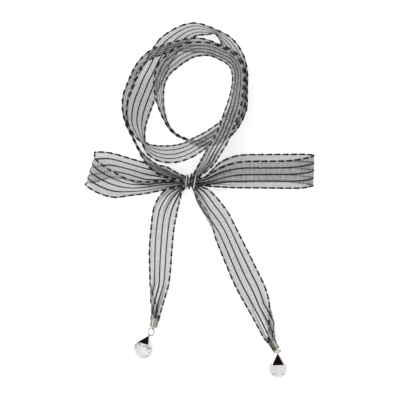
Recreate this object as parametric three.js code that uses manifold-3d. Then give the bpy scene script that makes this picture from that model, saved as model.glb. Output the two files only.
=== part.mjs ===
// Skinny scarf: a sheer striped ribbon wound three times into a neck ring and tied in a bow,
// with a clamp, a jump ring and a capped crystal drop on each tail. It lies on a table.
// Millimetres. +X right, +Y towards the top of the neck ring, +Z up off the table.
import * as THREE from "three";
import { mergeVertices } from "three/addons/utils/BufferGeometryUtils.js";
import Module from "manifold-3d";

const wasm = await Module();
wasm.setup();

// Driving sizes
const ribbonWall = 1;
const sectionStep = 5;
const clampSize = { width: 7.6, length: 9, depth: 3.6, plate: 0.8 };
const ringSize = { radius: 3.85, wire: 0.5, around: 24 };
const eyeSize = { radius: 1.35, wire: 0.42, around: 16 };
const wireSides = 8;
const capSize = { width: 16.6, depth: 12.4, length: 11, tip: 1.6 };
const crystalSize = { width: 17.8, depth: 15.4, length: 11.6 };
const cornerCut = 0.18;
const knotSize = { length: 28, breadth: 11.6, height: 14, end: 0.62, centre: [-9.8, 18.4, 9], sides: 12, steps: 7 };
const knotWaist = { depth: 0.16, reach: 0.3 };
const pieceGap = 0.4;

// Crystal's rings: how far down the stone, and the share of its full width there
const crystalRings = [[0, 0.88], [0.18, 1], [0.48, 0.98], [0.82, 0.74], [1, 0.36]];

// Finishes
const organza = { color: 0xc9c7c8, roughness: 0.75, metalness: 0 };
const paleBrass = { color: 0xc9b27c, roughness: 0.3, metalness: 1 };
const darkEnamel = { color: 0x1c1518, roughness: 0.2, metalness: 0 };
const clearGlass = { color: 0xe9ecef, roughness: 0.05, metalness: 0 };

// Ribbon tables. Each row is one section of the ribbon, in the order in which it was wound.
// x, y: middle of the ribbon in plan. low: height of its lower edge over the table.
// lean: slope of its width, 0 flat and 90 on edge. wide: width of the section, less where it is crushed.
// aim: plan direction of the raised edge. Without it, the raised edge is on the left of the route.
function table(columns, rows) {
  const names = columns.split(" ");
  return rows.map((row) => Object.fromEntries(names.map((name, i) => [name, row[i]])));
}

// Neck ring: out of the knot, up the left side, three times round, and back to the knot
const neckRows = table("x y low lean wide", [
  [-24.5, 23, 11.5, 32, 8],
  [-34, 26.3, 12, 45, 14],
  [-44.5, 31, 11.5, 68, 20],
  [-53, 39.4, 4, 80, 27],
  [-61, 50, 0.4, 88, 30],
  [-67.5, 63, 0.4, 88, 30],
  [-72.7, 76, 0.4, 85, 30],
  [-75, 90, 0.4, 82, 30],
  [-74, 103, 0.5, 80, 30],
  [-70, 115, 2, 80, 29],
  [-64.8, 127.2, 11.5, 80, 25],
  [-57.8, 137, 20.5, 76, 21],
  [-48.8, 144.4, 22.5, 70, 20],
  [-38, 149.2, 15, 70, 22],
  [-25.5, 152.8, 7.5, 71, 25],
  [-10, 154.5, 1.2, 66, 30],
  [4, 154, 0.4, 66, 30],
  [19.3, 148.9, 0.4, 69, 30],
  [30.5, 143.4, 0.4, 68, 30],
  [37.3, 135.6, 0.4, 69, 30],
  [39.9, 126, 0.4, 69, 30],
  [39.8, 115, 0.4, 68, 30],
  [38.8, 103.5, 0.4, 64, 29],
  [37, 92, 0.4, 56, 26],
  [32, 81.5, 0.6, 54, 25],
  [25, 72.6, 2, 54, 25],
  [15.2, 65.2, 2.5, 52, 24],
  [5, 59.3, 3.5, 50, 22],
  [-4, 54.3, 11, 57, 29],
  [-12.5, 49.6, 10, 57, 30],
  [-25, 46, 4, 55, 30],
  [-38.3, 46.2, 1, 58, 30],
  [-49, 50.2, 0.4, 69, 30],
  [-55.6, 57, 0.4, 83, 30],
  [-60, 66, 0.4, 70, 30],
  [-62.8, 77, 0.4, 52, 30],
  [-62, 88, 0.4, 42, 30],
  [-59.5, 97.5, 0.4, 36, 30],
  [-56.2, 106.3, 0.4, 37, 30],
  [-51, 119, 0.4, 38, 30],
  [-45, 130.5, 0.4, 40, 30],
  [-40.5, 140, 0.4, 42, 30],
  [-32.4, 152.3, 0.4, 43, 30],
  [-23.6, 160.6, 0.4, 51, 30],
  [-13.8, 167.2, 0.4, 60, 30],
  [-4, 170.2, 0.4, 67, 30],
  [6.3, 169.3, 0.4, 75, 30],
  [16.2, 167.4, 0.4, 84, 30],
  [26.3, 158.4, 0.4, 71, 30],
  [33.5, 148.8, 0.4, 66, 30],
  [39, 138.5, 0.4, 67, 30],
  [41.8, 126.5, 0.4, 69, 30],
  [41.7, 115, 0.4, 69, 30],
  [40.7, 103, 0.4, 65, 29],
  [39.2, 91.6, 0.4, 56, 26],
  [34.5, 80.5, 0.4, 54, 25],
  [27.2, 70.4, 0.4, 54, 24],
  [16, 62.4, 0.4, 50, 19],
  [4.8, 57.6, 0.4, 52, 12],
  [-5, 57, 0.4, 66, 11],
  [-13.5, 60.5, 0.4, 84, 11],
  [-22, 64.2, 0.4, 87, 22],
  [-29, 70.2, 0.4, 87, 28],
  [-34, 78.5, 0.4, 86, 30],
  [-38, 89, 0.4, 82, 30],
  [-40.4, 100, 0.4, 77, 30],
  [-41, 111, 0.4, 72, 30],
  [-39.7, 121, 0.4, 67, 30],
  [-34.6, 132, 0.4, 60, 30],
  [-28.3, 138, 0.4, 58, 30],
  [-20.6, 144, 0.4, 58, 30],
  [-9, 149.4, 0.4, 62, 30],
  [3, 150.6, 0.4, 66, 30],
  [12, 149.5, 0.4, 68, 30],
  [20.5, 146, 0.6, 69, 30],
  [29.3, 141.4, 1, 69, 30],
  [35.5, 134.8, 2, 69, 30],
  [38, 125.6, 5, 68, 29],
  [37.7, 115.5, 10, 66, 27],
  [36.2, 105, 15.5, 60, 24],
  [34, 94.5, 21, 50, 21],
  [30.2, 83, 22.5, 42, 19],
  [25.5, 70, 25, 42, 18],
  [20, 58.5, 26, 44, 19],
  [14.3, 49, 22.5, 48, 20],
  [9.5, 40.2, 11, 46, 19],
  [4.8, 33.5, 9, 38, 14],
  [-0.5, 27.5, 8.5, 30, 9],
]);

// Left bow loop: out along the table, up over the end, and back
const leftLoopRows = table("x y low lean aim wide", [
  [-24.5, 19.5, 3.5, 25, 90, 7],
  [-34, 22.8, 2.5, 25, 92, 13],
  [-44, 24.5, 1.2, 30, 92, 20],
  [-56, 26.3, 0.6, 38, 91, 28],
  [-72, 31, 0.4, 43, 90, 30],
  [-88.5, 34.7, 0.4, 37, 92, 30],
  [-102, 33.6, 0.6, 17, 97, 30],
  [-109.6, 30.9, 5.5, 8, 73, 30],
  [-107.7, 26.6, 10, 15, 75, 30],
  [-98.3, 20.2, 7.5, 24, 79, 30],
  [-84.5, 14.4, 3.5, 38, 84, 30],
  [-69, 12, 3, 52, 88, 24],
  [-54, 12.6, 5, 45, 90, 16],
  [-40, 14.6, 8, 32, 92, 11],
  [-26, 16, 9.5, 20, 90, 8],
]);

// Right bow loop: out along the table, up over the end, and back
const rightLoopRows = table("x y low lean aim wide", [
  [5, 19.5, 4.5, 15, 100, 8],
  [13, 23.5, 2.5, 24, 108, 14],
  [24, 28.6, 1, 27, 106, 23],
  [40, 31.2, 0.4, 28, 95, 30],
  [62, 32.4, 0.4, 30, 90, 30],
  [88, 32, 0.4, 26, 89, 30],
  [104, 31, 0.6, 14, 88, 30],
  [113.6, 29.6, 6.4, 4, 88, 30],
  [104, 26.8, 11, 13, 88, 30],
  [88, 25.5, 9, 24, 89, 30],
  [62, 25.2, 8.4, 28, 90, 30],
  [40, 25, 8, 28, 91, 29],
  [24, 22.6, 8.4, 24, 98, 22],
  [13, 19.8, 9.5, 18, 102, 14],
  [5, 18, 10.4, 12, 96, 8],
]);

// Tails: from the knot down to the clamps
const leftTailRows = table("x y low lean wide", [
  [-18.9, 12.1, 4.9, 8, 7],
  [-21, 10, 4.4, 13, 9],
  [-24.5, 6.5, 3, 22, 16],
  [-29.5, 0, 1.2, 32, 24],
  [-34.5, -11, 0.4, 36, 29],
  [-37.2, -26, 0.4, 40, 30],
  [-39.2, -49, 0.4, 41, 30],
  [-39.9, -65, 0.4, 42, 29],
  [-40.8, -82, 0.4, 40, 25],
  [-42.8, -97, 0.6, 32, 18],
  [-44, -108, 1, 18, 12],
  [-44.8, -116.5, 1.3, 3, 8.4],
  [-45.4, -120.6, 1.3, 0, 7.4],
]);
const rightTailRows = table("x y low lean wide", [
  [-3.2, 10.4, 4.2, 12, 8],
  [-0.5, 8, 3, 24, 15],
  [4.5, 2, 1.2, 35, 23],
  [17.2, -16.4, 0.4, 41, 29],
  [23.8, -28.7, 0.4, 42, 30],
  [30.6, -43.8, 0.4, 37, 30],
  [44.3, -74.4, 0.4, 29, 30],
  [53.3, -92.6, 0.4, 28, 29],
  [61, -111.3, 0.4, 28, 23],
  [66.3, -125.5, 0.6, 20, 17],
  [69.4, -135.6, 1, 12, 12.5],
  [71.2, -140.4, 1.3, 3, 8.2],
  [73, -144, 1.3, 0, 7.2],
]);

// Drops: where each clamp lies and where its chain leads. turn: plan direction away from the ribbon.
// tip: how far the drop's point dips under its stone. roll: how far a piece turns about its length.
const drops = {
  left: {
    clamp: { x: -45.9, y: -122.9, turn: -101, eyeRoll: -20 },
    chain: { turn: -121, roll: -35 },
    drop: { turn: -113, tip: 18, roll: -23 },
  },
  right: {
    clamp: { x: 73.9, y: -145.6, turn: -58, eyeRoll: 0 },
    chain: { turn: -80, roll: 0 },
    drop: { turn: -88, tip: -5, roll: 0 },
  },
};

const degrees = Math.PI / 180;

// A smooth run of sections through a table's rows, about one each step along the route.
function sectionsThrough(rows) {
  const curve = (pick) =>
    new THREE.CatmullRomCurve3(
      rows.map((row) => new THREE.Vector3(...pick(row))),
      false,
      "catmullrom",
      0.5,
    );
  const middles = curve((row) => [row.x, row.y, row.low]);
  const slopes = curve((row) => [row.lean, row.wide, row.aim ?? 0]);
  const aimed = rows[0].aim !== undefined;
  const spans = rows.length - 1;
  const sections = [];
  for (let i = 0; i < spans; i++) {
    const from = new THREE.Vector2(rows[i].x, rows[i].y);
    const run = from.distanceTo(new THREE.Vector2(rows[i + 1].x, rows[i + 1].y));
    const parts = Math.max(2, Math.round(run / sectionStep));
    for (let k = 0; k < parts + (i === spans - 1 ? 1 : 0); k++)
      sections.push(sectionAt((i + k / parts) / spans));
  }
  return sections;

  function sectionAt(t) {
    const middle = middles.getPoint(t);
    const slope = slopes.getPoint(t);
    const lean = slope.x * degrees;
    const along = middles.getTangent(t);
    const aim = aimed ? slope.z * degrees : Math.atan2(along.x, -along.y);
    const across = new THREE.Vector3(
      Math.cos(aim) * Math.cos(lean),
      Math.sin(aim) * Math.cos(lean),
      Math.sin(lean),
    );
    middle.z += (slope.y / 2) * Math.sin(lean) + (ribbonWall / 2) * Math.cos(lean);
    return { middle, across, wide: slope.y };
  }
}

// Ribbon: a closed wall that runs through the sections.
function ribbon(rows) {
  const sections = sectionsThrough(rows);
  const positions = [];
  sections.forEach(({ middle, across, wide }, i) => {
    const before = sections[Math.max(i - 1, 0)].middle;
    const after = sections[Math.min(i + 1, sections.length - 1)].middle;
    const along = after.clone().sub(before).normalize();
    const face = along.cross(across).normalize().multiplyScalar(ribbonWall / 2);
    for (const [side, skin] of [[-1, 1], [1, 1], [1, -1], [-1, -1]]) {
      const corner = middle.clone().addScaledVector(across, (side * wide) / 2);
      positions.push(...corner.addScaledVector(face, skin).toArray());
    }
  });
  const index = [];
  const quad = (a, b, c, d) => index.push(a, c, b, a, d, c);
  for (let i = 0; i < sections.length - 1; i++)
    for (let k = 0; k < 4; k++) {
      const next = (k + 1) % 4;
      quad(4 * i + k, 4 * i + next, 4 * i + 4 + next, 4 * i + 4 + k);
    }
  const last = positions.length / 3 - 4;
  quad(0, 3, 2, 1);
  quad(last, last + 1, last + 2, last + 3);
  const geometry = new THREE.BufferGeometry();
  geometry.setAttribute("position", new THREE.Float32BufferAttribute(positions, 3));
  geometry.setIndex(index);
  return geometry;
}

// Joins and cuts
function solidOf(geometry) {
  const bare = geometry.index ? geometry.toNonIndexed() : geometry.clone();
  bare.deleteAttribute("normal");
  bare.deleteAttribute("uv");
  const merged = mergeVertices(bare, 1e-4);
  return new wasm.Manifold(
    new wasm.Mesh({
      numProp: 3,
      vertProperties: merged.attributes.position.array,
      triVerts: new Uint32Array(merged.index.array),
    }),
  );
}
function geometryOf(solid) {
  const mesh = solid.getMesh();
  const geometry = new THREE.BufferGeometry();
  geometry.setAttribute("position", new THREE.BufferAttribute(mesh.vertProperties, 3));
  geometry.setIndex(new THREE.BufferAttribute(mesh.triVerts, 1));
  return geometry;
}
const joined = (...shapes) => geometryOf(shapes.map(solidOf).reduce((a, b) => a.add(b)));

// Knot: a short plump roll of crushed ribbon, waisted where the last turn wraps it
function knot() {
  const { length, breadth, height, end, sides, steps } = knotSize;
  const blunt = (end * breadth) / 2;
  const profile = [new THREE.Vector2(0, -length / 2), new THREE.Vector2(blunt, -length / 2)];
  for (let i = 1; i < steps; i++) {
    const along = -1 + (2 * i) / steps;
    const waist = 1 - knotWaist.depth * Math.exp(-((along / knotWaist.reach) ** 2));
    profile.push(
      new THREE.Vector2((breadth / 2) * Math.sqrt(1 - along ** 4) * waist, (along * length) / 2),
    );
  }
  profile.push(new THREE.Vector2(blunt, length / 2), new THREE.Vector2(0, length / 2));
  const geometry = new THREE.LatheGeometry(profile, sides);
  geometry.rotateZ(-Math.PI / 2);
  geometry.scale(1, 1, height / breadth);
  return geometry;
}

// Eye: a small round loop. Its hole runs across the piece, unless it is rolled about the length.
function eye(y, z, roll = 0) {
  const loop = new THREE.TorusGeometry(eyeSize.radius, eyeSize.wire, wireSides, eyeSize.around);
  loop.rotateY(Math.PI / 2 + roll * degrees);
  loop.translate(0, y, z);
  return loop;
}

// Clamp: a plate folded round the end of the ribbon, with an eye at the fold
function clamp(eyeRoll) {
  const { width, length, depth, plate } = clampSize;
  const lips = length / 2;
  const fold = -length / 2 + depth / 2;
  const side = new THREE.Shape();
  side.moveTo(lips, 0);
  side.lineTo(lips, plate);
  side.lineTo(fold, plate);
  side.absarc(fold, depth / 2, depth / 2 - plate, 1.5 * Math.PI, 0.5 * Math.PI, true);
  side.lineTo(lips, depth - plate);
  side.lineTo(lips, depth);
  side.lineTo(fold, depth);
  side.absarc(fold, depth / 2, depth / 2, 0.5 * Math.PI, 1.5 * Math.PI, false);
  side.closePath();
  const folded = new THREE.ExtrudeGeometry(side, {
    depth: width,
    bevelEnabled: false,
    curveSegments: 8,
  });
  folded.translate(0, 0, -width / 2);
  folded.applyMatrix4(
    new THREE.Matrix4().makeBasis(
      new THREE.Vector3(0, 1, 0),
      new THREE.Vector3(0, 0, 1),
      new THREE.Vector3(1, 0, 0),
    ),
  );
  return joined(folded, eye(-length / 2 - eyeSize.radius, depth / 2, eyeRoll));
}

// Cut pieces: eight-sided, from rings of a width and depth with their corners cut off
function cutPiece(rings) {
  const positions = [];
  for (const { y, width, depth } of rings) {
    const cut = cornerCut * Math.min(width, depth);
    const [w, d] = [width / 2, depth / 2];
    const corners = [[w, d - cut], [w - cut, d], [cut - w, d], [-w, d - cut]];
    for (const [x, z] of [...corners, ...corners.map(([x, z]) => [-x, -z])])
      positions.push(x, y, z);
  }
  const sides = 8;
  const index = [];
  for (let i = 0; i < rings.length - 1; i++)
    for (let k = 0; k < sides; k++) {
      const [a, b] = [sides * i + k, sides * i + ((k + 1) % sides)];
      index.push(a, b, b + sides, a, b + sides, a + sides);
    }
  const last = sides * (rings.length - 1);
  for (let k = 1; k < sides - 1; k++) {
    index.push(0, k + 1, k);
    index.push(last, last + k, last + k + 1);
  }
  const geometry = new THREE.BufferGeometry();
  geometry.setAttribute("position", new THREE.Float32BufferAttribute(positions, 3));
  geometry.setIndex(index);
  return geometry;
}

// Jump ring: rolled about the line between the two eyes
function jumpRing(roll) {
  const ring = new THREE.TorusGeometry(ringSize.radius, ringSize.wire, wireSides, ringSize.around);
  ring.rotateY(-roll * degrees);
  return ring;
}

// Drop cap: an eight-sided pyramid with an eye at its point. The middle of the eye is at 0.
function dropCap() {
  const { width, depth, length, tip } = capSize;
  const point = -eyeSize.radius;
  const pyramid = cutPiece([
    { y: point, width: tip, depth: tip },
    { y: point - length, width, depth },
  ]);
  return joined(pyramid, eye(0, 0));
}

// Crystal: a stone cut flat at the cap, full at its girdle and narrow at its end
function crystal() {
  const { width, depth, length } = crystalSize;
  const top = -eyeSize.radius - capSize.length - pieceGap;
  return cutPiece(
    crystalRings.map(([down, share]) => ({
      y: top - down * length,
      width: share * width,
      depth: share * depth,
    })),
  );
}

// Assembly
const scarf = new THREE.Group();
function add(name, geometry, finish, parent = scarf) {
  const mesh = new THREE.Mesh(geometry, new THREE.MeshStandardMaterial(finish));
  mesh.name = name;
  mesh.material.flatShading = true;
  parent.add(mesh);
  return mesh;
}

add("neck_coil", ribbon(neckRows), organza);
add("bow_loop_left", ribbon(leftLoopRows), organza);
add("bow_loop_right", ribbon(rightLoopRows), organza);
add("tail_left", ribbon(leftTailRows), organza);
add("tail_right", ribbon(rightTailRows), organza);
add("knot", knot(), organza).position.set(...knotSize.centre);

const flatDirection = (turn) =>
  new THREE.Vector3(Math.cos(turn * degrees), Math.sin(turn * degrees), 0);

for (const [side, place] of Object.entries(drops)) {
  const clampAt = add("clamp_" + side, clamp(place.clamp.eyeRoll), paleBrass);
  clampAt.position.set(place.clamp.x, place.clamp.y, 0);
  clampAt.rotation.z = (place.clamp.turn + 90) * degrees;

  const drop = new THREE.Group();
  drop.rotation.set(
    -place.drop.tip * degrees,
    place.drop.roll * degrees,
    (place.drop.turn + 90) * degrees,
    "ZXY",
  );
  scarf.add(drop);
  add("drop_cap_" + side, dropCap(), darkEnamel, drop);
  add("crystal_" + side, crystal(), clearGlass, drop);
  drop.updateMatrixWorld(true);
  const eyeHeight = -new THREE.Box3().setFromObject(drop, true).min.z;

  const start = flatDirection(place.clamp.turn).multiplyScalar(clampSize.length / 2 + eyeSize.radius);
  start.add(clampAt.position).setZ(clampSize.depth / 2);
  const reach = 2 * ringSize.radius;
  const rise = eyeHeight - start.z;
  const end = flatDirection(place.chain.turn).multiplyScalar(Math.sqrt(reach ** 2 - rise ** 2));
  end.add(start).setZ(eyeHeight);
  drop.position.copy(end);

  const along = end.clone().sub(start).normalize();
  const across = flatDirection(place.chain.turn + 90);
  const ringAt = add("jump_ring_" + side, jumpRing(place.chain.roll), paleBrass);
  ringAt.applyMatrix4(
    new THREE.Matrix4().makeBasis(across, along, across.clone().cross(along)),
  );
  ringAt.position.copy(start.add(end).multiplyScalar(0.5));
}

// The origin is the middle of the whole box, on the table
scarf.updateMatrixWorld(true);
const box = new THREE.Box3().setFromObject(scarf, true);
const middle = box.getCenter(new THREE.Vector3());
scarf.position.set(-middle.x, -middle.y, -box.min.z);

export default scarf;
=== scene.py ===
import math
import bpy
import bmesh
from mathutils import Matrix, Vector


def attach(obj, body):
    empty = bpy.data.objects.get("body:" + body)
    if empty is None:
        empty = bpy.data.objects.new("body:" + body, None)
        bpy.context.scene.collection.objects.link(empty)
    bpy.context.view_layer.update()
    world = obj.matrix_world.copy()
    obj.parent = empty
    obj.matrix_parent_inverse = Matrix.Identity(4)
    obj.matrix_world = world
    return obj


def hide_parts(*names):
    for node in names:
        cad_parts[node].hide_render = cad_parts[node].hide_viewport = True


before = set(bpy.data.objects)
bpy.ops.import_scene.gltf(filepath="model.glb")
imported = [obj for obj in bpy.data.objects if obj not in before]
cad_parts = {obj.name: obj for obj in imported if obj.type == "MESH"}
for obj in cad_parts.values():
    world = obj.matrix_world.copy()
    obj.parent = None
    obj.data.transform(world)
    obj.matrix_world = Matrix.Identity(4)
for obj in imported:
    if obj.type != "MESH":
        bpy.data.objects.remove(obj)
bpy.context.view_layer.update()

mm = 0.001
turn = 2 * math.pi

# Routes are in millimetres on the table; this moves them into the frame.
tableShift = Vector((0.0166, 0.5022, 0.0))


class Wire:  # a shader socket that Python's signs work on
    def __init__(self, tree, socket=None):
        self.tree = tree
        self.socket = socket

    def node(self, kind, settings=None, values=None, outlet=0):
        made = self.tree.nodes.new(kind)
        for name, value in (settings or {}).items():
            setattr(made, name, value)
        for name, value in (values or {}).items():
            if isinstance(value, Wire):
                self.tree.links.new(value.socket, made.inputs[name])
            else:
                made.inputs[name].default_value = value
        return Wire(self.tree, made.outputs[outlet])

    def maths(self, how, first, *others):
        return self.node("ShaderNodeMath", {"operation": how}, dict(enumerate((first,) + others)))

    def __add__(self, other):
        return self.maths("ADD", self, other)

    def __radd__(self, other):
        return self.maths("ADD", other, self)

    def __sub__(self, other):
        return self.maths("SUBTRACT", self, other)

    def __rsub__(self, other):
        return self.maths("SUBTRACT", other, self)

    def __mul__(self, other):
        return self.maths("MULTIPLY", self, other)

    def __rmul__(self, other):
        return self.maths("MULTIPLY", other, self)

    def wave(self):  # 0 to 1, once every unit
        return self.maths("SINE", self * turn) * 0.5 + 0.5

    def mixed(self, low, high):
        return self.node("ShaderNodeMix", {"data_type": "RGBA"}, {0: self, 6: low, 7: high}, 2)

    def split(self):  # the first two numbers of a place
        first = self.node("ShaderNodeSeparateXYZ", {}, {0: self})
        return first, Wire(self.tree, first.socket.node.outputs[1])

    def spread(self, other, fineness):  # two numbers as a place, each made finer by its own amount
        return self.node("ShaderNodeCombineXYZ", {}, {0: self * fineness[0], 1: other * fineness[1]})

    def noise(self, scale, detail):
        return self.node("ShaderNodeTexNoise", {}, {"Vector": self, "Scale": scale, "Detail": detail})

    def bump(self, strength, distance):
        return self.node("ShaderNodeBump", {}, {"Strength": strength, "Distance": distance, "Height": self})

    def attribute(self, name):
        return self.node("ShaderNodeAttribute", {"attribute_name": name}, {}, 2)

    def objectPlace(self):
        return self.node("ShaderNodeTexCoord", {}, {}, 3)


def startMaterial(name):
    made = bpy.data.materials.new(name)
    made.use_nodes = True
    made.node_tree.nodes.clear()
    return made, Wire(made.node_tree)


def endMaterial(made, wire, values):
    shader = wire.node("ShaderNodeBsdfPrincipled", {}, values)
    output = made.node_tree.nodes.new("ShaderNodeOutputMaterial")
    made.node_tree.links.new(shader.socket, output.inputs["Surface"])
    return made


# Sheer cloth. Weave, shimmer, grain and pleats vary how much it covers, and shimmer and pleats its colour;
# the pleats' part is painted shade on their steep sides and a painted highlight on their crests.
# wefts, warps: threads in one ribbon's width, along and across. Fine: how fine a pattern is across and along.
organzaLook = {
    "shade": (0.12, 0.117, 0.12, 1),
    "bright": (0.82, 0.805, 0.81, 1),
    "contrast": 1.1,
    "darker": 0.25,
    "cover": 0.61,
    "pleatShade": 0.5,
    "pleatCover": 0.24,
    "weave": 0.1,
    "shimmer": 0.3,
    "grain": 0.2,
    "wefts": 22,
    "warps": 26,
    "weftShare": 0.6,
    "shimmerFine": (2.2, 9),
    "grainFine": (16, 24),
    "rough": 0.55,
    "sheen": 0.15,
    "relief": (0.4, 0.0002),
}

# The same cloth where it is crushed: denser, with a hard painted highlight on each pleat's crest and
# near-black painted shade on its sides
crushedLook = organzaLook | {
    "shade": (0.02, 0.02, 0.02, 1),
    "bright": (1, 0.99, 0.99, 1),
    "cover": 0.74,
    "pleatShade": 0.95,
    "pleatCover": -0.22,
}


def organzaMaterial(name, look):
    made, wire = startMaterial(name)
    across, along = wire.node("ShaderNodeUVMap", {"uv_map": "cloth"}).split()
    weft = (along * look["wefts"]).wave()
    warp = (across * look["warps"]).wave()
    weave = weft * look["weftShare"] + warp * (1 - look["weftShare"])
    shimmer = across.spread(along, look["shimmerFine"]).noise(1.6, 3)
    grain = across.spread(along, look["grainFine"]).noise(1, 2)
    # fold carries painted pleat shading: a painted highlight on crests and painted shade on steep sides, in
    # the colour and, through pleatCover, the cover
    fold = wire.attribute("fold")
    cover = (weave - 0.5) * look["weave"] + (shimmer - 0.5) * look["shimmer"] + (grain - 0.5) * look["grain"]
    light = shimmer * look["contrast"] - look["darker"] + fold * look["pleatShade"]
    return endMaterial(made, wire, {
        "Base Color": light.mixed(look["shade"], look["bright"]),
        "Alpha": cover + look["cover"] - fold * look["pleatCover"],
        "Roughness": look["rough"],
        "Normal": weave.bump(*look["relief"]),
        "Sheen Weight": look["sheen"],
    })


# Twisted edge thread: dark, with a short pale part in each twist that slants round it
twistLook = {
    "dark": (0.002, 0.002, 0.003, 1),
    "pale": (0.4, 0.39, 0.4, 1),
    "paleAbove": 0.78,
    "slant": 0.1,
    "ragged": 0.05,
    "strands": (9, 6),
    "rough": 0.75,
    "relief": (0.5, 0.0001),
}


def twistMaterial():
    look = twistLook
    made, wire = startMaterial("twistedThread")
    place = wire.node("ShaderNodeUVMap", {"uv_map": "thread"})
    around, along = place.split()
    fuzz = place.noise(9, 2)
    twists = along * (ribbonLook["threadUnit"] / ribbonLook["twistEvery"])
    shown = (twists + around.wave() * look["slant"] + (fuzz - 0.5) * look["ragged"]).wave()
    pale = shown.maths("GREATER_THAN", shown, look["paleAbove"])
    strands = (around * look["strands"][0] + along * look["strands"][1]).wave()
    return endMaterial(made, wire, {
        "Base Color": pale.mixed(look["dark"], look["pale"]),
        "Roughness": look["rough"],
        "Normal": strands.bump(*look["relief"]),
    })


stripeLook = {
    "dark": (0.002, 0.002, 0.003, 1),
    "worn": (0.02, 0.02, 0.024, 1),
    "rough": 0.7,
    "relief": (0.4, 0.0001),
}


def stripeMaterial():
    look = stripeLook
    made, wire = startMaterial("stripeThread")
    fuzz = wire.node("ShaderNodeUVMap", {"uv_map": "thread"}).noise(6, 2)
    return endMaterial(made, wire, {
        "Base Color": fuzz.mixed(look["dark"], look["worn"]),
        "Roughness": look["rough"],
        "Normal": fuzz.bump(*look["relief"]),
    })


# Ribbon routes. Each row is one section, in the order in which the ribbon was wound.
# x, y: middle in plan. low: height of the lower edge. lean: slope of the width, 90 on edge.
# wide: how much room the width has; less than the ribbon's 30 is taken up in pleats.
# aim: plan direction of the raised edge; without it that edge is on the left of the route.
neckRoute = [
    (-13, 19.5, 9, 12, 6),
    (-17.5, 20.8, 10.5, 20, 6.5),
    (-24.5, 23, 11.5, 32, 8),
    (-34, 26.3, 12, 45, 14),
    (-44.5, 31, 11.5, 68, 20),
    (-53, 39.4, 4, 80, 27),
    (-61, 50, 0.4, 88, 30),
    (-67.5, 63, 0.4, 88, 30),
    (-72.7, 76, 0.4, 85, 30),
    (-75, 90, 0.4, 82, 30),
    (-74, 103, 0.5, 80, 30),
    (-70, 115, 2, 80, 29),
    (-64.8, 127.2, 11.5, 80, 25),
    (-57.8, 137, 20.5, 76, 21),
    (-48.8, 144.4, 22.5, 70, 20),
    (-38, 149.2, 15, 70, 22),
    (-25.5, 152.8, 7.5, 71, 25),
    (-10, 154.5, 1.2, 66, 30),
    (4, 154, 0.4, 66, 30),
    (19.3, 148.9, 0.4, 69, 30),
    (30.5, 143.4, 0.4, 68, 30),
    (37.3, 135.6, 0.4, 69, 30),
    (39.9, 126, 0.4, 69, 30),
    (39.8, 115, 0.4, 68, 30),
    (38.8, 103.5, 0.4, 64, 29),
    (37, 92, 0.4, 56, 26),
    (32, 81.5, 0.6, 54, 25),
    (25, 72.6, 2, 54, 25),
    (15.2, 65.2, 2.5, 52, 24),
    (5, 59.3, 3.5, 50, 22),
    (-4, 54.3, 11, 57, 29),
    (-12.5, 49.6, 10, 57, 30),
    (-25, 46, 4, 55, 30),
    (-38.3, 46.2, 1, 58, 30),
    (-49, 50.2, 0.4, 69, 30),
    (-55.6, 57, 0.4, 83, 30),
    (-60, 66, 0.4, 70, 30),
    (-62.8, 77, 0.4, 52, 30),
    (-62, 88, 0.4, 42, 30),
    (-59.5, 97.5, 0.4, 36, 30),
    (-56.2, 106.3, 0.4, 37, 30),
    (-51, 119, 0.4, 38, 30),
    (-45, 130.5, 0.4, 40, 30),
    (-40.5, 140, 0.4, 42, 30),
    (-32.4, 152.3, 0.4, 43, 30),
    (-23.6, 160.6, 0.4, 51, 30),
    (-13.8, 167.2, 0.4, 60, 30),
    (-4, 170.2, 0.4, 67, 30),
    (6.3, 169.3, 0.4, 75, 30),
    (16.2, 167.4, 0.4, 84, 30),
    (26.3, 158.4, 0.4, 71, 30),
    (33.5, 148.8, 0.4, 66, 30),
    (39, 138.5, 0.4, 67, 30),
    (41.8, 126.5, 0.4, 69, 30),
    (41.7, 115, 0.4, 69, 30),
    (40.7, 103, 0.4, 65, 29),
    (39.2, 91.6, 0.4, 56, 26),
    (34.5, 80.5, 0.4, 54, 25),
    (27.2, 70.4, 0.4, 54, 24),
    (16, 62.4, 0.4, 50, 19),
    (4.8, 57.6, 0.4, 52, 12),
    (-5, 57, 0.4, 66, 11),
    (-13.5, 60.5, 0.4, 84, 11),
    (-22, 64.2, 0.4, 87, 22),
    (-29, 70.2, 0.4, 87, 28),
    (-34, 78.5, 0.4, 86, 30),
    (-38, 89, 0.4, 82, 30),
    (-40.4, 100, 0.4, 77, 30),
    (-41, 111, 0.4, 72, 30),
    (-39.7, 121, 0.4, 67, 30),
    (-34.6, 132, 0.4, 60, 30),
    (-28.3, 138, 0.4, 58, 30),
    (-20.6, 144, 0.4, 58, 30),
    (-9, 149.4, 0.4, 62, 30),
    (3, 150.6, 0.4, 66, 30),
    (12, 149.5, 0.4, 68, 30),
    (20.5, 146, 0.6, 69, 30),
    (29.3, 141.4, 1, 69, 30),
    (35.5, 134.8, 2, 69, 30),
    (38, 125.6, 5, 68, 29),
    (37.7, 115.5, 10, 66, 27),
    (36.2, 105, 15.5, 60, 24),
    (34, 94.5, 21, 50, 21),
    (30.2, 83, 22.5, 42, 19),
    (25.5, 70, 25, 42, 18),
    (20, 58.5, 26, 44, 19),
    (14.3, 49, 22.5, 48, 20),
    (9.5, 40.2, 11, 46, 19),
    (4.8, 33.5, 9, 38, 14),
    (-0.5, 27.5, 8.5, 30, 9),
    (-4, 23, 8.8, 20, 6.5),
    (-7.5, 19.5, 9, 12, 6),
]
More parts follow.
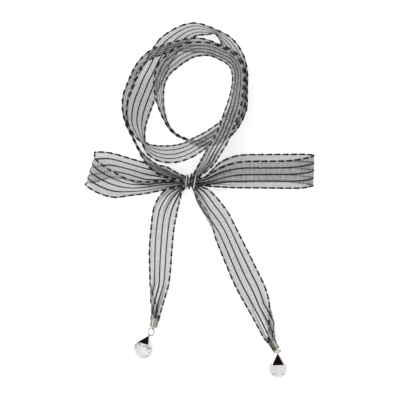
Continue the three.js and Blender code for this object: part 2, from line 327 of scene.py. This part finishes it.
leftLoopRoute = [
    (-12, 18.6, 6, 10, 5.5, 90),
    (-18, 18.8, 5, 18, 6, 90),
    (-24.5, 19.5, 3.5, 25, 7, 90),
    (-34, 22.8, 2.5, 25, 13, 92),
    (-44, 24.5, 1.2, 30, 20, 92),
    (-56, 26.3, 0.6, 38, 28, 91),
    (-72, 31, 0.4, 43, 30, 90),
    (-88.5, 34.7, 0.4, 37, 30, 92),
    (-102, 33.6, 0.6, 17, 30, 97),
    (-109.6, 30.9, 5.5, 8, 30, 73),
    (-107.7, 26.6, 10, 15, 30, 75),
    (-98.3, 20.2, 7.5, 24, 30, 79),
    (-84.5, 14.4, 3.5, 38, 30, 84),
    (-69, 12, 3, 52, 24, 88),
    (-54, 12.6, 5, 45, 16, 90),
    (-40, 14.6, 8, 32, 11, 92),
    (-26, 16, 9.5, 20, 8, 90),
    (-18, 17, 10, 12, 6.5, 90),
    (-12, 18, 9.5, 8, 6, 90),
]
rightLoopRoute = [
    (-8, 18.2, 6.5, 8, 5.5, 92),
    (-1.5, 18.6, 5.5, 12, 6.5, 96),
    (5, 19.5, 4.5, 15, 8, 100),
    (13, 23.5, 2.5, 24, 14, 108),
    (24, 28.6, 1, 27, 23, 106),
    (40, 31.2, 0.4, 28, 30, 95),
    (62, 32.4, 0.4, 30, 30, 90),
    (88, 32, 0.4, 26, 30, 89),
    (104, 31, 0.6, 14, 30, 88),
    (113.6, 29.6, 6.4, 4, 30, 88),
    (104, 26.8, 11, 13, 30, 88),
    (88, 25.5, 9, 24, 30, 89),
    (62, 25.2, 8.4, 28, 30, 90),
    (40, 25, 8, 28, 29, 91),
    (24, 22.6, 8.4, 24, 22, 98),
    (13, 19.8, 9.5, 18, 14, 102),
    (5, 18, 10.4, 12, 8, 96),
    (-2, 17.8, 10, 8, 6.5, 92),
    (-8, 18, 9.5, 6, 6, 90),
]
leftTailRoute = [
    (-12.5, 17, 8, 6, 5.5),
    (-16.5, 14.2, 6.5, 8, 6),
    (-20.5, 10.5, 4.5, 12, 8),
    (-24.5, 6.5, 3, 22, 16),
    (-29.5, 0, 1.2, 32, 24),
    (-34.5, -11, 0.4, 36, 29),
    (-37.2, -26, 0.4, 40, 30),
    (-39.2, -49, 0.4, 41, 30),
    (-39.9, -65, 0.4, 42, 29),
    (-40.8, -82, 0.4, 40, 25),
    (-42.8, -97, 0.6, 32, 18),
    (-44, -108, 1, 18, 12),
    (-44.8, -116.5, 1.3, 3, 8.4),
    (-45.4, -120.6, 1.3, 0, 7.4),
]
rightTailRoute = [
    (-8.5, 17.5, 8, 6, 5.5),
    (-6, 14.5, 6.5, 8, 6),
    (-3.5, 11, 4.5, 12, 8),
    (-0.5, 8, 3, 24, 15),
    (4.5, 2, 1.2, 35, 23),
    (17.2, -16.4, 0.4, 41, 29),
    (23.8, -28.7, 0.4, 42, 30),
    (30.6, -43.8, 0.4, 37, 30),
    (44.3, -74.4, 0.4, 29, 30),
    (53.3, -92.6, 0.4, 28, 29),
    (61, -111.3, 0.4, 28, 23),
    (66.3, -125.5, 0.6, 20, 17),
    (69.4, -135.6, 1, 12, 12.5),
    (71.2, -140.4, 1.3, 3, 8.2),
    (73, -144, 1.3, 0, 7.2),
]
wrapRoute = [
    (-11.2, 17.2, 2.2, 0, 12, 8),
    (-11.2, 14.2, 3.4, 0, 12, 8),
    (-11, 12.6, 7.5, 0, 11.5, 6),
    (-10.6, 13.6, 12, 0, 11.5, 4),
    (-10.2, 15.8, 14.3, 0, 12, 2),
    (-9.8, 18.2, 15, 0, 12.6, 0),
    (-9.4, 20.8, 14.3, 0, 13, -2),
    (-9, 23, 12, 0, 13, -4),
    (-8.8, 24, 7.5, 0, 13, -4),
    (-9.2, 22.2, 3.4, 0, 12.6, -4),
    (-9.8, 19, 2.2, 0, 12, -2),
]

# Lengths are in millimetres. gathered: how far from an end the pleats reach. clear: height off the table.
# smallFold, pleatWander: a strength and a length along. ripples: lengths along, each with a slant across.
# stripeSize, edgeSize: half a thread's breadth and thickness. threadUnit: the length of one unit of its UV.
ribbonLook = {
    "width": 30,
    "wall": 1,
    "clothStep": 1.0,
    "clear": 0.3,
    "gathered": 65,
    "pleatDepth": 0.75,
    "pleatColumns": 8,
    "pleatWander": (0.9, 23),
    "pleatStart": 0.5,
    "smallFold": (0.3, 17),
    "ripple": 0.3,
    "ripples": ((13, 2.2), (29, 4)),
    "underGap": 0.9,
    "underSteep": 20,
    "stripes": (0.25, 0.5, 0.75),
    "stripeSize": (0.82, 0.28),
    "edgeSize": (1.05, 0.75),
    "edgeSwell": 0.14,
    "twistEvery": 8.2,
    "threadUnit": 10,
}


def between(rows, at):  # the smooth curve through the rows, at a place counted in rows
    last = len(rows) - 1
    first = min(int(at), last - 1)
    part = at - first
    b, c = rows[first], rows[first + 1]
    a = rows[first - 1] if first > 0 else [2 * p - q for p, q in zip(b, c)]
    d = rows[first + 2] if first + 2 <= last else [2 * q - p for p, q in zip(b, c)]
    value, slope = [], []
    for p, q, r, s in zip(a, b, c, d):
        k1, k2, k3 = r - p, 2 * p - 5 * q + 4 * r - s, 3 * q - p - 3 * r + s
        value.append(0.5 * (2 * q + part * (k1 + part * (k2 + part * k3))))
        slope.append(0.5 * (k1 + part * (2 * k2 + part * 3 * k3)))
    return value, slope


def stationAt(route, at):
    value, slope = between(route, at)
    lean = math.radians(value[3])
    aim = math.radians(value[5]) if len(value) > 5 else math.atan2(slope[0], -slope[1])
    across = Vector((math.cos(aim) * math.cos(lean), math.sin(aim) * math.cos(lean), math.sin(lean)))
    middle = Vector(value[:3])
    middle.z += value[4] / 2 * math.sin(lean) + ribbonLook["wall"] / 2 * math.cos(lean)
    return {"middle": middle + tableShift, "across": across, "wide": value[4], "along": Vector(slope[:3])}


def turnedAt(turned, edge, run):  # the share of the width that is turned under along one edge
    share = 0
    for which, most, full, none in turned:
        if which == edge:
            share += most * min(1, max(0, (run - none) / (full - none)))
    return share


def stationsAlong(route, step, habit):  # evenly spaced along the ribbon, with the length so far
    fine = 16
    places = [i / fine for i in range((len(route) - 1) * fine + 1)]
    points = [stationAt(route, at)["middle"] for at in places]
    lengths = [0.0]
    for one, two in zip(points, points[1:]):
        lengths.append(lengths[-1] + (two - one).length)
    count = max(2, round(lengths[-1] / step))
    stations, k = [], 0
    for i in range(count + 1):
        want = lengths[-1] * i / count
        while k < len(lengths) - 2 and lengths[k + 1] < want:
            k += 1
        part = (want - lengths[k]) / max(lengths[k + 1] - lengths[k], 1e-9)
        station = stationAt(route, places[k] + part / fine)
        station["run"] = want
        near = max(0, 1 - min(want, lengths[-1] - want) / ribbonLook["gathered"])
        station["gather"] = near * near * (3 - 2 * near)
        station["pleats"], station["room"] = habit["pleats"], habit["room"]
        station["under"] = [turnedAt(habit["turned"], edge, want) for edge in (0, 1)]
        station["face"] = station["along"].cross(station["across"]).normalized()
        stations.append(station)
    return stations


def pleatsAt(station, side):  # how deep the pleats are, and where in a pleat this place is
    look = ribbonLook
    pleats = station["pleats"]
    slack = max(look["width"] * (1 - sum(station["under"])) / station["wide"], 1.0001)
    depth = look["pleatDepth"] * station["wide"] / (math.pi * pleats) * math.sqrt(slack ** 2 - 1)
    much, every = look["pleatWander"]
    phase = turn * pleats * side + much * math.sin(station["run"] / every) + look["pleatStart"]
    return min(depth, station["room"]) * station["gather"], phase


def onCloth(station, side, clear=ribbonLook["clear"]):  # side runs from 0, the lower edge, to 1
    look = ribbonLook
    low, high = station["under"]
    run = station["run"]
    shown = 1 - low - high
    spot = (shown - abs(shown - abs(side - low))) / shown
    depth, phase = pleatsAt(station, side)
    much, every = look["smallFold"]
    fold = math.sin(phase) + much * math.sin(turn * (station["pleats"] * 2 - 1) * side + run / every)
    (short, shortSlant), (long, longSlant) = look["ripples"]
    ripple = look["ripple"] * math.sin(run / short + shortSlant * side)
    ripple *= math.cos(run / long + longSlant * side)
    beneath = min(1, max(0, low - side, side - 1 + high) * look["underSteep"]) * look["underGap"]
    out = depth * fold + ripple - beneath
    point = station["middle"] + station["across"] * (spot - 0.5) * station["wide"] + station["face"] * out
    point.z = max(point.z, clear)
    return point * mm


# Painted pleat shading for the cloth: a painted highlight where a pleat turns, painted shade on its steep
# sides
def foldShade(station, side):  # 1 where a pleat turns, -1 on its steep sides, 0 where there are none
    depth, phase = pleatsAt(station, side)
    return -math.cos(2 * phase) * min(1, depth)


def seal(bm, near):  # merges what lies within near, closes holes and points the faces outwards
    bmesh.ops.remove_doubles(bm, verts=bm.verts, dist=near)
    bmesh.ops.holes_fill(bm, edges=[e for e in bm.edges if e.is_boundary], sides=0)
    bmesh.ops.recalc_face_normals(bm, faces=bm.faces)


def objectFrom(name, bm, material):
    mesh = bpy.data.meshes.new(name)
    bm.to_mesh(mesh)
    bm.free()
    mesh.materials.append(material)
    made = bpy.data.objects.new(name, mesh)
    bpy.context.scene.collection.objects.link(made)
    return made


def gridObject(name, columns, rows, layer, placeOf, markOf, material, shadeOf=None, closed=False):
    bm = bmesh.new()
    marks = bm.loops.layers.uv.new(layer)
    # the fold attribute holds the painted pleat shading for the cloth's colour
    shades = bm.verts.layers.float.new("fold") if shadeOf else None
    bmesh.ops.create_grid(bm, x_segments=columns, y_segments=rows, size=0.5)
    spots = {v: (round((v.co.x + 0.5) * columns), round((v.co.y + 0.5) * rows)) for v in bm.verts}
    for face in bm.faces:
        face.smooth = True
        for corner in face.loops:
            corner[marks].uv = markOf(*spots[corner.vert])
    for v, spot in spots.items():
        v.co = placeOf(*spot)
        if shadeOf:
            v[shades] = shadeOf(*spot)
    if closed:
        seal(bm, 1e-7)
        for face in bm.faces:
            face.smooth = True
    return objectFrom(name, bm, material)


def clothPiece(name, stations, material):
    columns = ribbonLook["pleatColumns"] * stations[0]["pleats"]
    width = ribbonLook["width"]

    def placeOf(i, j):
        return onCloth(stations[j], i / columns)

    def markOf(i, j):
        return i / columns, stations[j]["run"] / width

    # painted pleat shading, read by the cloth material
    def shadeOf(i, j):
        return foldShade(stations[j], i / columns)

    return gridObject(name, columns, len(stations) - 1, "cloth", placeOf, markOf, material, shadeOf)


def threadPiece(name, stations, side, size, twist, material, sides=8):  # twist: length of one, or 0
    swell = ribbonLook["edgeSwell"] if twist else 0
    lines = [onCloth(station, side, max(size) * (1 + swell)) for station in stations]
    ring = []
    for i, station in enumerate(stations):
        along = (lines[min(i + 1, len(lines) - 1)] - lines[max(i - 1, 0)]).normalized()
        across = (station["across"] - along * station["across"].dot(along)).normalized()
        face = along.cross(across).normalized()
        ring.append((across, face))

    def placeOf(i, j):
        angle = turn * (i % sides) / sides
        spin = turn * stations[j]["run"] / twist if twist else 0
        thick = 1 - swell * math.sin(spin)
        u, v = size[0] * thick * math.cos(angle), size[1] * thick * math.sin(angle)
        x = u * math.cos(spin) - v * math.sin(spin)
        y = u * math.sin(spin) + v * math.cos(spin)
        across, face = ring[j]
        return lines[j] + (across * x + face * y) * mm

    def markOf(i, j):
        return i / sides, stations[j]["run"] / ribbonLook["threadUnit"]

    return gridObject(name, sides, len(stations) - 1, "thread", placeOf, markOf, material, closed=True)


def joinedPiece(name, pieces):
    bm = bmesh.new()
    for piece in pieces:
        bm.from_mesh(piece.data)
    mesh = pieces[0].data
    bm.to_mesh(mesh)
    bm.free()
    for piece in pieces[1:]:
        bpy.data.objects.remove(piece)
    pieces[0].name = name
    mesh.name = name
    return pieces[0]


organza = organzaMaterial("sheerOrganza", organzaLook)
crushed = organzaMaterial("crushedOrganza", crushedLook)
twisted = twistMaterial()
stripe = stripeMaterial()
print("materials for the ribbon are ready")

# How a piece takes up the ribbon's width: pleats, the most that they stand out, and edges turned under.
# turned: which edge, the share of the width at most, and the lengths along where it is full and gone.
plainHabit = {"cloth": organza, "pleats": 3, "room": 1.9, "turned": []}
wrapHabit = {"cloth": crushed, "pleats": 3, "room": 2.1, "turned": []}
leftTailHabit = plainHabit | {"turned": [(0, 0.5, 146, 112)]}
rightTailHabit = plainHabit | {"turned": [(0, 0.17, 34, 60), (1, 0.48, 182, 142)]}


def ribbonPiece(name, route, nodes, habit=plainHabit):
    look = ribbonLook
    stations = stationsAlong(route, look["clothStep"], habit)
    cloth = clothPiece(name + "Cloth", stations, habit["cloth"])
    edges = [
        threadPiece(name + "Edge", stations, side, look["edgeSize"], look["twistEvery"], twisted)
        for side in (0, 1)
    ]
    stripes = [
        threadPiece(name + "Stripe", stations, side, look["stripeSize"], 0, stripe, 6)
        for side in look["stripes"]
    ]
    edging = joinedPiece(name + "Edging", edges)
    striping = joinedPiece(name + "Stripes", stripes)
    for piece in (cloth, edging, striping):
        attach(piece, "root")
    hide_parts(*nodes)
    length = stations[-1]["run"]
    flat = (look["width"] * mm, length * mm)
    print(name, "ribbon", round(length), "mm long")


ribbonPiece("neckCoil", neckRoute, ["neck_coil"])
ribbonPiece("leftLoop", leftLoopRoute, ["bow_loop_left"])
ribbonPiece("rightLoop", rightLoopRoute, ["bow_loop_right"])
ribbonPiece("leftTail", leftTailRoute, ["tail_left"], leftTailHabit)
ribbonPiece("rightTail", rightTailRoute, ["tail_right"], rightTailHabit)
ribbonPiece("knotWrap", wrapRoute, ["knot"], wrapHabit)


# Metal: fine marks vary it from dull to bright, and where shine names an attribute, that attribute paints
# light and shade on it between the two
brassLook = {
    "bright": (0.88, 0.86, 0.78, 1),
    "dull": (0.06, 0.045, 0.018, 1),
    "rough": 0.16,
    "shine": "shine",
}
wireLook = {
    "bright": (0.62, 0.6, 0.5, 1),
    "dull": (0.24, 0.22, 0.14, 1),
    "rough": 0.12,
    "shine": "",
}


def metalMaterial(name, look):
    made, wire = startMaterial(name)
    marks = wire.objectPlace().noise(900, 3)
    blend = marks
    if look["shine"]:
        blend = wire.attribute(look["shine"]) + (marks - 0.5) * 0.3
    return endMaterial(made, wire, {
        "Base Color": blend.mixed(look["dull"], look["bright"]),
        "Metallic": 1.0,
        "Roughness": marks * 0.15 + look["rough"],
        "Normal": marks.bump(0.15, 0.00005),
    })


def finished(name, bm, place, material, smooth=False):  # from millimetres to its place in the frame
    seal(bm, 1e-4)
    bmesh.ops.scale(bm, verts=bm.verts, vec=(mm, mm, mm))
    bmesh.ops.transform(bm, matrix=place, verts=bm.verts)
    for face in bm.faces:
        face.smooth = smooth
    return objectFrom(name, bm, material)


# Radii are in millimetres, and the split is in degrees.
ringLook = {"radius": 3.85, "wire": 0.5, "steps": 60, "split": 9}
eyeLook = {"radius": 1.35, "wire": 0.42, "steps": 24, "split": 0}


def wireRing(bm, look):  # a ring round X, from a circle spun about it
    gap = math.radians(look["split"])
    radius = look["radius"]
    circle = bmesh.ops.create_circle(bm, segments=12, radius=look["wire"])["verts"]
    bmesh.ops.rotate(bm, verts=circle, cent=(0, 0, 0), matrix=Matrix.Rotation(gap / 2, 3, "X"))
    bmesh.ops.translate(bm, verts=circle, vec=(0, radius * math.cos(gap / 2), radius * math.sin(gap / 2)))
    rim = list({e for v in circle for e in v.link_edges})
    bmesh.ops.spin(
        bm, geom=circle + rim, cent=(0, 0, 0), axis=(1, 0, 0), dvec=(0, 0, 0), angle=turn - gap,
        steps=look["steps"], use_merge=gap == 0, use_normal_flip=False, use_duplicate=False,
    )


clampLook = {
    "width": 7.6,
    "length": 9,
    "depth": 3.6,
    "plate": 0.8,
    "groove": -1.9,
    "grooveWide": 0.7,
    "grooveDeep": 0.5,
    "rounded": 0.35,
    "bandShine": 0.6,
    "eyeShine": 0.7,
}


def clampSection():  # the folded plate from the side: along, up, and 1 where it is the upper wall
    look = clampLook
    half, centre = look["length"] / 2, look["depth"] / 2
    fold = centre - half
    straight, curve = 6, 10
    section = []
    for radius in (centre, centre - look["plate"]):
        wall = [(half - (half - fold) * i / straight, centre - radius, 0) for i in range(straight)]
        for i in range(curve + 1):
            angle = -math.pi / 2 - math.pi * i / curve
            high = math.sin(angle)
            wall.append((fold + radius * math.cos(angle), centre + radius * high, max(0, high)))
        wall += [(fold + (half - fold) * i / straight, centre + radius, 1) for i in range(1, straight + 1)]
        section += wall if not section else wall[::-1]
    return section + section[:1]


# A plate folded round the ribbon's end, with a pressed groove, and its eye.
# shine: the plate's painted brightness, which stands in for how it is lit, and the middle and breadth of a
# painted highlight band along it.
def clampMesh(eyeRoll, shine):
    look = clampLook
    section = clampSection()
    rows = len(section) - 1
    bm = bmesh.new()
    bmesh.ops.create_grid(bm, x_segments=24, y_segments=rows, size=0.5)
    for v in bm.verts:
        y, z, upper = section[round((v.co.y + 0.5) * rows)]
        x = v.co.x * look["width"]
        sunk = look["grooveDeep"] * math.exp(-((x - look["groove"]) / look["grooveWide"]) ** 2)
        v.co = (x, y, z - (sunk + look["rounded"] * (2 * x / look["width"]) ** 4) * upper)
    seal(bm, 1e-4)
    # painted light: an even brightness for how the plate is lit, plus a band of painted highlight along it
    level, band, breadth = shine
    shines = bm.verts.layers.float.new("shine")
    for v in bm.verts:
        v[shines] = level + look["bandShine"] * math.exp(-((v.co.x - band) / breadth) ** 2)
    before = len(bm.verts)
    wireRing(bm, eyeLook)
    bm.verts.ensure_lookup_table()
    eye = bm.verts[before:]
    for v in eye:
        v[shines] = look["eyeShine"]
    bmesh.ops.rotate(bm, verts=eye, cent=(0, 0, 0), matrix=Matrix.Rotation(math.radians(eyeRoll), 3, "Y"))
    bmesh.ops.translate(bm, verts=eye, vec=(0, -look["length"] / 2 - eyeLook["radius"], look["depth"] / 2))
    return bm


def cutRing(width, depth, cut, y, turned=False):  # eight corners; turned puts them between, a bit out
    w, d = width / 2, depth / 2
    corners = [(w, d - cut), (w - cut, d), (cut - w, d), (-w, d - cut)]
    corners += [(-x, -z) for x, z in corners]
    if turned:
        pairs = zip(corners, corners[1:] + corners[:1])
        corners = [((a[0] + b[0]) / 2, (a[1] + b[1]) / 2) for a, b in pairs]
        corners = [(1.05 * x, 1.05 * z) for x, z in corners]
    return [Vector((x, y, z)) for x, z in corners]


def cutSolid(points, edge, segments):  # the hull of the points, with its edges bevelled
    bm = bmesh.new()
    verts = [bmesh.ops.create_vert(bm, co=point)["vert"][0] for point in points]
    made = bmesh.ops.convex_hull(bm, input=verts)
    bmesh.ops.delete(bm, geom=made["geom_unused"] + made["geom_interior"], context="VERTS")
    bmesh.ops.dissolve_limit(bm, angle_limit=0.01, verts=bm.verts, edges=bm.edges)
    bmesh.ops.bevel(
        bm, geom=bm.edges[:], offset=edge, segments=segments, profile=0.5, affect="EDGES", material=-1,
    )
    return bm


# A face is black where its area in square metres is past broad, it faces more up or down than sideways,
# and it faces along the drop by less than endOn.
capLook = {
    "width": 16.6,
    "depth": 12.4,
    "length": 11,
    "tip": 1.6,
    "cut": 0.18,
    "edge": 0.22,
    "black": (0.003, 0.003, 0.003, 1),
    "dull": (0.56, 0.45, 0.43, 1),
    "bright": (0.72, 0.62, 0.6, 1),
    "rough": 0.1,
    "broad": 3e-5,
    "endOn": 0.8,
}


def capMaterial():  # black on the broad faces and bright metal on the narrow ones
    look = capLook
    made, wire = startMaterial("twoToneCap")
    dark = wire.attribute("blackened")
    marks = wire.objectPlace().noise(700, 2)
    return endMaterial(made, wire, {
        "Base Color": dark.mixed(marks.mixed(look["dull"], look["bright"]), look["black"]),
        "Metallic": 1 - dark,
        "Roughness": marks * 0.1 + look["rough"],
        "Specular IOR Level": 0.02,
    })


def capMesh():
    look = capLook
    tip = look["tip"]
    point = -eyeLook["radius"]
    points = cutRing(tip, tip, look["cut"] * tip, point)
    points += cutRing(look["width"], look["depth"], look["cut"] * look["depth"], point - look["length"])
    bm = cutSolid(points, look["edge"], 2)
    wireRing(bm, eyeLook)
    return bm


def blackenBroadFaces(cap, place):
    look = capLook
    mask = cap.data.attributes.new("blackened", "FLOAT", "FACE")
    unturned = place.to_3x3().inverted()
    for face in cap.data.polygons:
        facing = unturned @ face.normal
        broad = face.area > look["broad"] and abs(facing.z) > abs(facing.x) and abs(facing.y) < look["endOn"]
        mask.data[face.index].value = 1.0 if broad else 0.0


# rings: how far down, the share of the full size, and whether the corners are turned
crystalLook = {
    "width": 17.8,
    "depth": 15.4,
    "length": 11.6,
    "gap": 0.4,
    "cut": 0.24,
    "edge": 0.12,
    "rings": [(0, 0.88, False), (0.18, 1, True), (0.48, 0.98, False), (0.82, 0.74, True), (1, 0.34, False)],
    "dull": (0.66, 0.665, 0.67, 1),
    "bright": (0.88, 0.885, 0.89, 1),
    "rough": 0.06,
    "bending": 1.4,
}


def glassMaterial():
    look = crystalLook
    made, wire = startMaterial("clearGlass")
    marks = wire.objectPlace().noise(260, 2)
    return endMaterial(made, wire, {
        "Base Color": marks.mixed(look["dull"], look["bright"]),
        "Roughness": look["rough"],
        "IOR": look["bending"],
        "Transmission Weight": 1.0,
    })


def crystalMesh():
    look = crystalLook
    top = -eyeLook["radius"] - capLook["length"] - look["gap"]
    points = []
    for down, share, turned in look["rings"]:
        width, depth = share * look["width"], share * look["depth"]
        points += cutRing(width, depth, look["cut"] * depth, top - down * look["length"], turned)
    return cutSolid(points, look["edge"], 1)


brass = metalMaterial("paleBrass", brassLook)
wireBrass = metalMaterial("paleWire", wireLook)
capMetal = capMaterial()
glass = glassMaterial()
print("materials for the metal and the stones are ready")

# Where each clamp lies, and how its pieces are turned, in degrees. clamp, chain, drop: direction in plan.
# tip: lifts the stone's far end. roll, ring, eye: the roll of the drop, the jump ring and the clamp's eye.
# shine: the clamp's painted brightness and painted highlight band; the right clamp is painted darker, as
# painted shade.
drops = {
    "left": {
        "x": -45.9, "y": -122.9, "clamp": -101, "chain": -121, "drop": -113,
        "tip": 18, "roll": -23, "ring": -35, "eye": -20, "shine": (0.42, -1.8, 0.7),
    },
    "right": {
        "x": 73.9, "y": -145.6, "clamp": -58, "chain": -80, "drop": -88,
        "tip": -5, "roll": 0, "ring": 0, "eye": 0, "shine": (0.1, 2.0, 1.4),
    },
}


def turnedBy(degrees, axis):
    return Matrix.Rotation(math.radians(degrees), 4, axis)


def direction(degrees):
    return Vector((math.cos(math.radians(degrees)), math.sin(math.radians(degrees)), 0))


def lowest(bm, matrix):
    return min((matrix @ v.co).z for v in bm.verts)


def makeDrop(side, place):
    name = side.title()
    clampAt = Vector((place["x"], place["y"], 0)) + tableShift
    at = Matrix.Translation(clampAt * mm) @ turnedBy(place["clamp"] + 90, "Z")
    clamp = finished("clamp" + name, clampMesh(place["eye"], place["shine"]), at, brass)

    # The drop lies on its lowest corner, so its eye's height follows from how it is turned.
    cap, stone = capMesh(), crystalMesh()
    tilt = turnedBy(place["drop"] + 90, "Z") @ turnedBy(-place["tip"], "X") @ turnedBy(place["roll"], "Y")
    eyeHeight = -min(lowest(cap, tilt), lowest(stone, tilt))
    start = clampAt + direction(place["clamp"]) * (clampLook["length"] / 2 + eyeLook["radius"])
    start.z = clampLook["depth"] / 2
    reach = 2 * ringLook["radius"]
    rise = eyeHeight - start.z
    end = start + direction(place["chain"]) * math.sqrt(reach ** 2 - rise ** 2)
    end.z = eyeHeight
    at = Matrix.Translation(end * mm) @ tilt
    capPiece = finished("dropCap" + name, cap, at, capMetal)
    crystal = finished("crystal" + name, stone, at, glass)
    blackenBroadFaces(capPiece, at)

    along = (end - start).normalized()
    across = direction(place["chain"] + 90)
    basis = Matrix((across.cross(along), along, across)).transposed().to_4x4() @ turnedBy(-place["ring"], "Y")
    at = Matrix.Translation((start + end) / 2 * mm) @ basis
    bm = bmesh.new()
    wireRing(bm, ringLook)
    ring = finished("jumpRing" + name, bm, at, wireBrass, True)

    parts = [(clamp, "clamp_", "pale_brass"), (ring, "jump_ring_", "pale_brass")]
    parts += [(capPiece, "drop_cap_", "dark_cap"), (crystal, "crystal_", "clear_glass")]
    for piece, node, finish in parts:
        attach(piece, "root")
        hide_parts(node + side)
    print("drop on the", side, "is hung")


for side, place in drops.items():
    makeDrop(side, place)

tableLook = {"size": 6.0, "colour": (0.86, 0.86, 0.86, 1), "rough": 0.9, "glow": 0.58, "drop": 0.0002}


def tableTop():
    look = tableLook
    made, wire = startMaterial("tableWhite")
    endMaterial(made, wire, {
        "Base Color": look["colour"],
        "Roughness": look["rough"],
        "Emission Color": (1, 1, 1, 1),
        "Emission Strength": look["glow"],
    })
    bm = bmesh.new()
    bmesh.ops.create_grid(bm, x_segments=1, y_segments=1, size=look["size"] / 2)
    bmesh.ops.translate(bm, verts=bm.verts, vec=(0, 0, -look["drop"]))
    table = objectFrom("tableTop", bm, made)


# The sky is bright on the left and dim on the right; skyMiddle and skyFall say how it goes over.
lightLook = {
    "sky": (1, 1, 1, 1),
    "dim": (0.25, 0.25, 0.26, 1),
    "skyMiddle": 0.9,
    "skyFall": 1.4,
    "skyStrength": 0.95,
    "panelPlace": (-0.9, 1.1, 1.6),
    "panelSize": 1.2,
    "panelWatts": 14,
}


def studioSky():
    look = lightLook
    world = bpy.data.worlds.new("studio")
    bpy.context.scene.world = world
    world.use_nodes = True
    sky = world.node_tree.nodes["Background"]
    sky.inputs["Strength"].default_value = look["skyStrength"]
    side = Wire(world.node_tree).node("ShaderNodeTexCoord").split()[0]
    bright = (side * -look["skyFall"] + look["skyMiddle"]).mixed(look["dim"], look["sky"])
    world.node_tree.links.new(bright.socket, sky.inputs["Color"])


def panelLight():  # a soft round panel that faces the middle of the table
    look = lightLook
    lamp = bpy.data.lights.new("panel", "AREA")
    lamp.shape = "DISK"
    lamp.size = look["panelSize"]
    lamp.energy = look["panelWatts"]
    made = bpy.data.objects.new("panel", lamp)
    made.location = look["panelPlace"]
    made.rotation_euler = (-Vector(look["panelPlace"])).to_track_quat("-Z", "Y").to_euler()
    bpy.context.scene.collection.objects.link(made)


# Height and far are in metres, lens and sensor in millimetres.
cameraLook = {"height": 5.0, "far": 40, "lens": 450, "sensor": 36}


def cameraAbove():
    look = cameraLook
    camera = bpy.data.cameras.new("fromAbove")
    camera.sensor_width = look["sensor"]
    camera.lens = look["lens"]
    camera.clip_end = look["far"]
    made = bpy.data.objects.new("fromAbove", camera)
    made.location = (tableShift.x * mm, tableShift.y * mm, look["height"])
    bpy.context.scene.collection.objects.link(made)
    bpy.context.scene.camera = made
    bpy.context.scene.view_settings.view_transform = "Standard"


tableTop()
studioSky()
panelLight()
cameraAbove()
print("table, light and camera are set")
